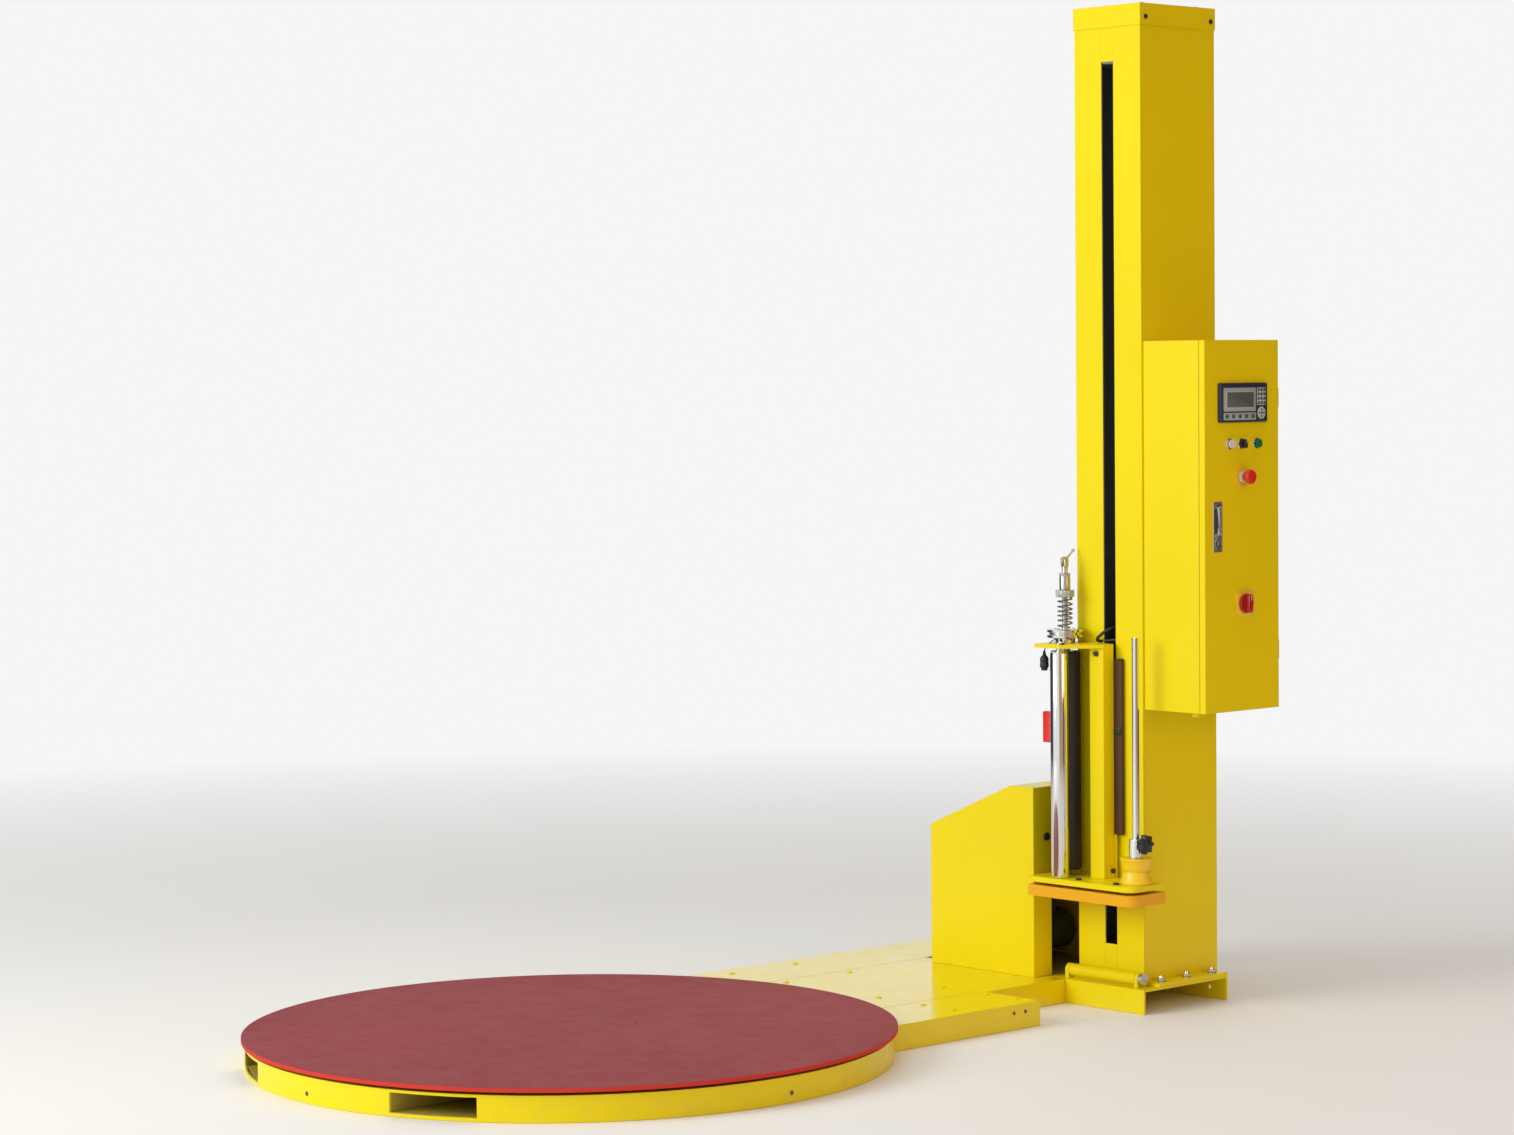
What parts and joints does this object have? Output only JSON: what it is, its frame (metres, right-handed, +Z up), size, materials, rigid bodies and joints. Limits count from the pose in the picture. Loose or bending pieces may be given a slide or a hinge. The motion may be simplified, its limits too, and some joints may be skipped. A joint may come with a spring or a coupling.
{
  "type": "turntable pallet wrapper",
  "caption": "Low turntable on a forkable base with a folding mast, a chain-lifted film carriage with rollers and a core mandrel, and a hinged control box.",
  "frame": {"origin": "on the floor under the turntable's axis", "axes": "+X from the turntable to the mast, +Z up, the control box on the -Y side"},
  "size_m": [2.6888, 1.6498, 2.701],
  "materials": {
    "yellow_paint": "gloss",
    "maroon_paint": "satin",
    "bare_steel": "satin",
    "chrome": "gloss",
    "black_plastic": "satin",
    "black_rubber": "matte",
    "brown_plastic": "satin",
    "motor_grey": "satin",
    "panel_navy": "satin",
    "red_plastic": "gloss",
    "white_plastic": "gloss",
    "green_plastic": "gloss",
    "yellow_plastic": "gloss"
  },
  "bodies": {
    "base": {"base_frame": "yellow_paint", "table_ring": "yellow_paint", "deck_plates": "yellow_paint", "base_screws": "bare_steel", "wheel_mounts": "bare_steel", "drive_motor": "motor_grey", "motor_cover": "yellow_paint", "drive_chain": "bare_steel", "mast_base": "yellow_paint", "hinge_pin": "bare_steel"},
    "table": {"turntable_disc": "maroon_paint", "table_hub": "bare_steel", "disc_bolts": "black_plastic"},
    "support_wheel_1": {"support_wheel_1": "black_rubber"},
    "support_wheel_2": {"support_wheel_2": "black_rubber"},
    "support_wheel_3": {"support_wheel_3": "black_rubber"},
    "support_wheel_4": {"support_wheel_4": "black_rubber"},
    "drive_sprocket": {"drive_sprocket": "bare_steel"},
    "mast": {"mast_foot": "yellow_paint", "mast_column": "yellow_paint", "mast_cap": "yellow_paint", "mast_bolts": "bare_steel", "guide_shafts": "chrome", "lift_motor": "motor_grey", "lift_chain": "bare_steel", "control_box": "yellow_paint"},
    "top_sprocket": {"top_sprocket": "bare_steel"},
    "bottom_sprocket": {"bottom_sprocket": "bare_steel"},
    "door": {"box_door": "yellow_paint", "control_panel": "panel_navy", "panel_fittings": "chrome", "warning_plates": "yellow_plastic"},
    "latch_paddle": {"latch_paddle": "chrome"},
    "stop_button": {"stop_button": "white_plastic"},
    "start_button": {"start_button": "green_plastic"},
    "selector_knob": {"selector_knob": "black_plastic"},
    "estop_button": {"estop_button": "red_plastic"},
    "switch_handle": {"switch_handle": "red_plastic"},
    "carriage": {"lift_sleeve": "bare_steel", "slider_plate": "brown_plastic", "carriage_post": "yellow_paint", "roller_shelf": "yellow_paint", "brake_spindle": "bare_steel", "brake_spring": "bare_steel", "mandrel_rod": "chrome", "height_sensor": "red_plastic", "carriage_cable": "black_rubber", "sensor_lead": "black_rubber", "lead_plug": "black_plastic", "carriage_screws": "black_plastic"},
    "bumper_tray": {"bumper_tray": "yellow_paint"},
    "chrome_roller": {"chrome_roller": "chrome"},
    "rubber_roller": {"rubber_roller": "black_rubber", "brake_discs": "chrome"},
    "brake_nut": {"brake_nut": "chrome"},
    "brake_lever": {"brake_lever": "bare_steel"},
    "lower_cone": {"lower_cone": "yellow_plastic"},
    "mandrel_collar": {"mandrel_collar": "chrome"},
    "upper_cone": {"upper_cone": "yellow_plastic"},
    "collar_knob": {"collar_knob": "black_plastic"}
  },
  "joints": [
    {"name": "table_spin", "type": "hinge", "parent": "base", "child": "table", "pos_m": [0, 0, 0.077], "axis": [0, 0, 1], "continuous": true},
    {"name": "wheel_1_spin", "type": "hinge", "parent": "base", "child": "support_wheel_1", "pos_m": [0.6, 0, 0.0467], "axis": [1, 0, 0], "continuous": true},
    {"name": "wheel_2_spin", "type": "hinge", "parent": "base", "child": "support_wheel_2", "pos_m": [0, 0.6, 0.0467], "axis": [0, 1, 0], "continuous": true},
    {"name": "wheel_3_spin", "type": "hinge", "parent": "base", "child": "support_wheel_3", "pos_m": [-0.6, 0, 0.0467], "axis": [-1, 0, 0], "continuous": true},
    {"name": "wheel_4_spin", "type": "hinge", "parent": "base", "child": "support_wheel_4", "pos_m": [0, -0.6, 0.0467], "axis": [0, -1, 0], "continuous": true},
    {"name": "drive_sprocket_spin", "type": "hinge", "parent": "base", "child": "drive_sprocket", "pos_m": [1.58, 0, 0.032], "axis": [0, 0, 1], "continuous": true},
    {"name": "mast_fold", "type": "hinge", "parent": "base", "child": "mast", "pos_m": [1.52, -0.434, 0.087], "axis": [0, -1, 0], "range_deg": [0, 60]},
    {"name": "carriage_lift", "type": "slide", "parent": "mast", "child": "carriage", "axis": [0, 0, 1], "range_m": [-0.18, 1.5]},
    {"name": "top_sprocket_spin", "type": "hinge", "parent": "mast", "child": "top_sprocket", "pos_m": [1.74, -0.434, 2.48], "axis": [0, 1, 0], "range_deg": [-260, 2240]},
    {"name": "bottom_sprocket_spin", "type": "hinge", "parent": "mast", "child": "bottom_sprocket", "pos_m": [1.74, -0.434, 0.28], "axis": [0, 1, 0], "range_deg": [-260, 2240]},
    {"name": "door_swing", "type": "hinge", "parent": "mast", "child": "door", "pos_m": [1.858, -0.75625, 1.3], "axis": [0, 0, 1], "range_deg": [0, 110]},
    {"name": "latch_pull", "type": "hinge", "parent": "door", "child": "latch_paddle", "pos_m": [1.602, -0.763, 1.356], "axis": [-1, 0, 0], "range_deg": [0, 35], "stiffness_Nm_per_rad": 0.2},
    {"name": "stop_button_press", "type": "slide", "parent": "door", "child": "stop_button", "axis": [0, 1, 0], "range_m": [0, 0.003], "stiffness_N_per_m": 500},
    {"name": "start_button_press", "type": "slide", "parent": "door", "child": "start_button", "axis": [0, 1, 0], "range_m": [0, 0.003], "stiffness_N_per_m": 500},
    {"name": "selector_turn", "type": "hinge", "parent": "door", "child": "selector_knob", "pos_m": [1.698, -0.767, 1.523], "axis": [0, -1, 0], "range_deg": [-45, 45]},
    {"name": "estop_press", "type": "slide", "parent": "door", "child": "estop_button", "axis": [0, 1, 0], "range_m": [0, 0.005]},
    {"name": "switch_turn", "type": "hinge", "parent": "door", "child": "switch_handle", "pos_m": [1.707, -0.767, 1.098], "axis": [0, -1, 0], "range_deg": [0, 90]},
    {"name": "chrome_roller_spin", "type": "hinge", "parent": "carriage", "child": "chrome_roller", "pos_m": [1.432, -0.353, 0.6], "axis": [0, 0, 1], "continuous": true},
    {"name": "rubber_roller_spin", "type": "hinge", "parent": "carriage", "child": "rubber_roller", "pos_m": [1.494, -0.318, 0.6], "axis": [0, 0, 1], "continuous": true},
    {"name": "brake_nut_turn", "type": "hinge", "parent": "carriage", "child": "brake_nut", "pos_m": [1.494, -0.318, 1.1179], "axis": [0, 0, 1], "range_deg": [-180, 180]},
    {"name": "brake_lever_flip", "type": "hinge", "parent": "carriage", "child": "brake_lever", "pos_m": [1.494, -0.318, 1.2069], "axis": [0, 1, 0], "range_deg": [-104, 30]},
    {"name": "bumper_tray_lift", "type": "slide", "parent": "carriage", "child": "bumper_tray", "axis": [0, 0, 1], "range_m": [0, 0.0075]},
    {"name": "lower_cone_spin", "type": "hinge", "parent": "carriage", "child": "lower_cone", "pos_m": [1.482, -0.582, 0.37], "axis": [0, 0, 1], "continuous": true},
    {"name": "collar_slide", "type": "slide", "parent": "carriage", "child": "mandrel_collar", "axis": [0, 0, 1], "range_m": [0, 0.52]},
    {"name": "upper_cone_spin", "type": "hinge", "parent": "mandrel_collar", "child": "upper_cone", "pos_m": [1.482, -0.582, 0.4], "axis": [0, 0, 1], "continuous": true},
    {"name": "collar_knob_turn", "type": "hinge", "parent": "mandrel_collar", "child": "collar_knob", "pos_m": [1.482, -0.612, 0.4589], "axis": [0, -1, 0], "range_deg": [-180, 180]}
  ],
  "couplings": [
    {"joint": "wheel_1_spin", "follows": "table_spin", "ratio": -24},
    {"joint": "wheel_2_spin", "follows": "table_spin", "ratio": -24},
    {"joint": "wheel_3_spin", "follows": "table_spin", "ratio": -24},
    {"joint": "wheel_4_spin", "follows": "table_spin", "ratio": -24},
    {"joint": "drive_sprocket_spin", "follows": "table_spin", "ratio": 3},
    {"joint": "top_sprocket_spin", "follows": "carriage_lift", "rad_per_m": 24.635},
    {"joint": "bottom_sprocket_spin", "follows": "carriage_lift", "rad_per_m": 24.635}
  ]
}
